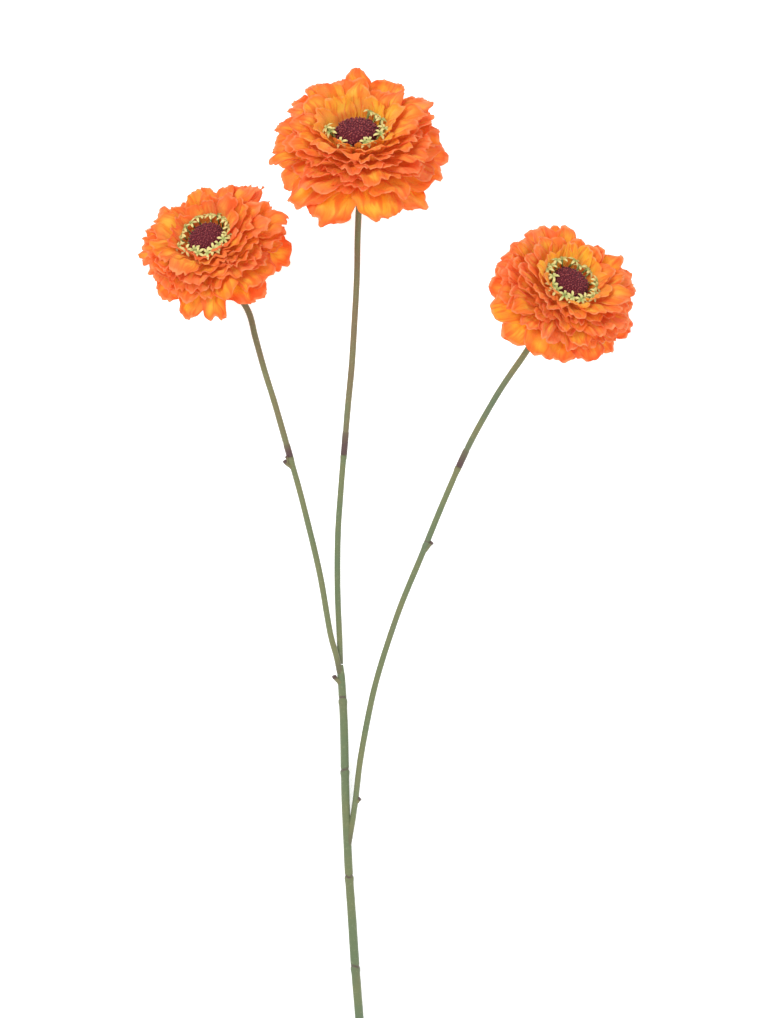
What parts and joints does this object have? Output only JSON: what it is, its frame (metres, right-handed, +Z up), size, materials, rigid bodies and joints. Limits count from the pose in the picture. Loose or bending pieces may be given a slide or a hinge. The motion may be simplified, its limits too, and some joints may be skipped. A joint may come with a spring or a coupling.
{
  "type": "zinnia flower spray",
  "caption": "Cut spray of double orange zinnia blooms with dark centres on one slim branching stem, lying down",
  "frame": {"origin": "middle of the spray's box, on the surface that it lies on", "axes": "+Y along the stem from the cut end to the blooms, +Z up from the surface, +X to the right as seen from above"},
  "size_m": [0.2014, 0.4293, 0.053],
  "materials": {
    "stem": "satin grey-green, fine lengthwise grooves, darker towards the cut end",
    "branch": "satin grey-green with olive and blue-green patches and dark joints",
    "stalk": "satin olive green, browner under the head",
    "calyx": "satin green with overlapping scales",
    "petal_inner": "soft matt, yellow at the base and orange at the rim",
    "petal": "soft matt orange with fine veins and a paler scalloped rim",
    "petal_skirt": "soft matt orange with yellow streaks from the base",
    "floret": "matt cream-yellow stars on green tubes",
    "disc": "dark burgundy flock"
  },
  "bodies": {
    "root": {"main_stem": "stem", "center_branch": "branch", "left_branch": "branch", "right_branch": "branch", "center_stalk": "stalk", "left_stalk": "stalk", "right_stalk": "stalk", "center_calyx": "calyx", "center_petals_1": "petal_inner", "center_petals_2": "petal_inner", "center_petals_3": "petal", "center_petals_4": "petal", "center_petals_5": "petal", "center_petals_6": "petal", "center_petals_7": "petal_skirt", "center_floret_ring": "floret", "center_disc": "disc", "left_calyx": "calyx", "left_petals_1": "petal_inner", "left_petals_2": "petal_inner", "left_petals_3": "petal", "left_petals_4": "petal", "left_petals_5": "petal", "left_petals_6": "petal", "left_petals_7": "petal_skirt", "left_floret_ring": "floret", "left_disc": "disc", "right_calyx": "calyx", "right_petals_1": "petal_inner", "right_petals_2": "petal_inner", "right_petals_3": "petal", "right_petals_4": "petal", "right_petals_5": "petal", "right_petals_6": "petal", "right_petals_7": "petal_skirt", "right_floret_ring": "floret", "right_disc": "disc"}
  },
  "joints": []
}
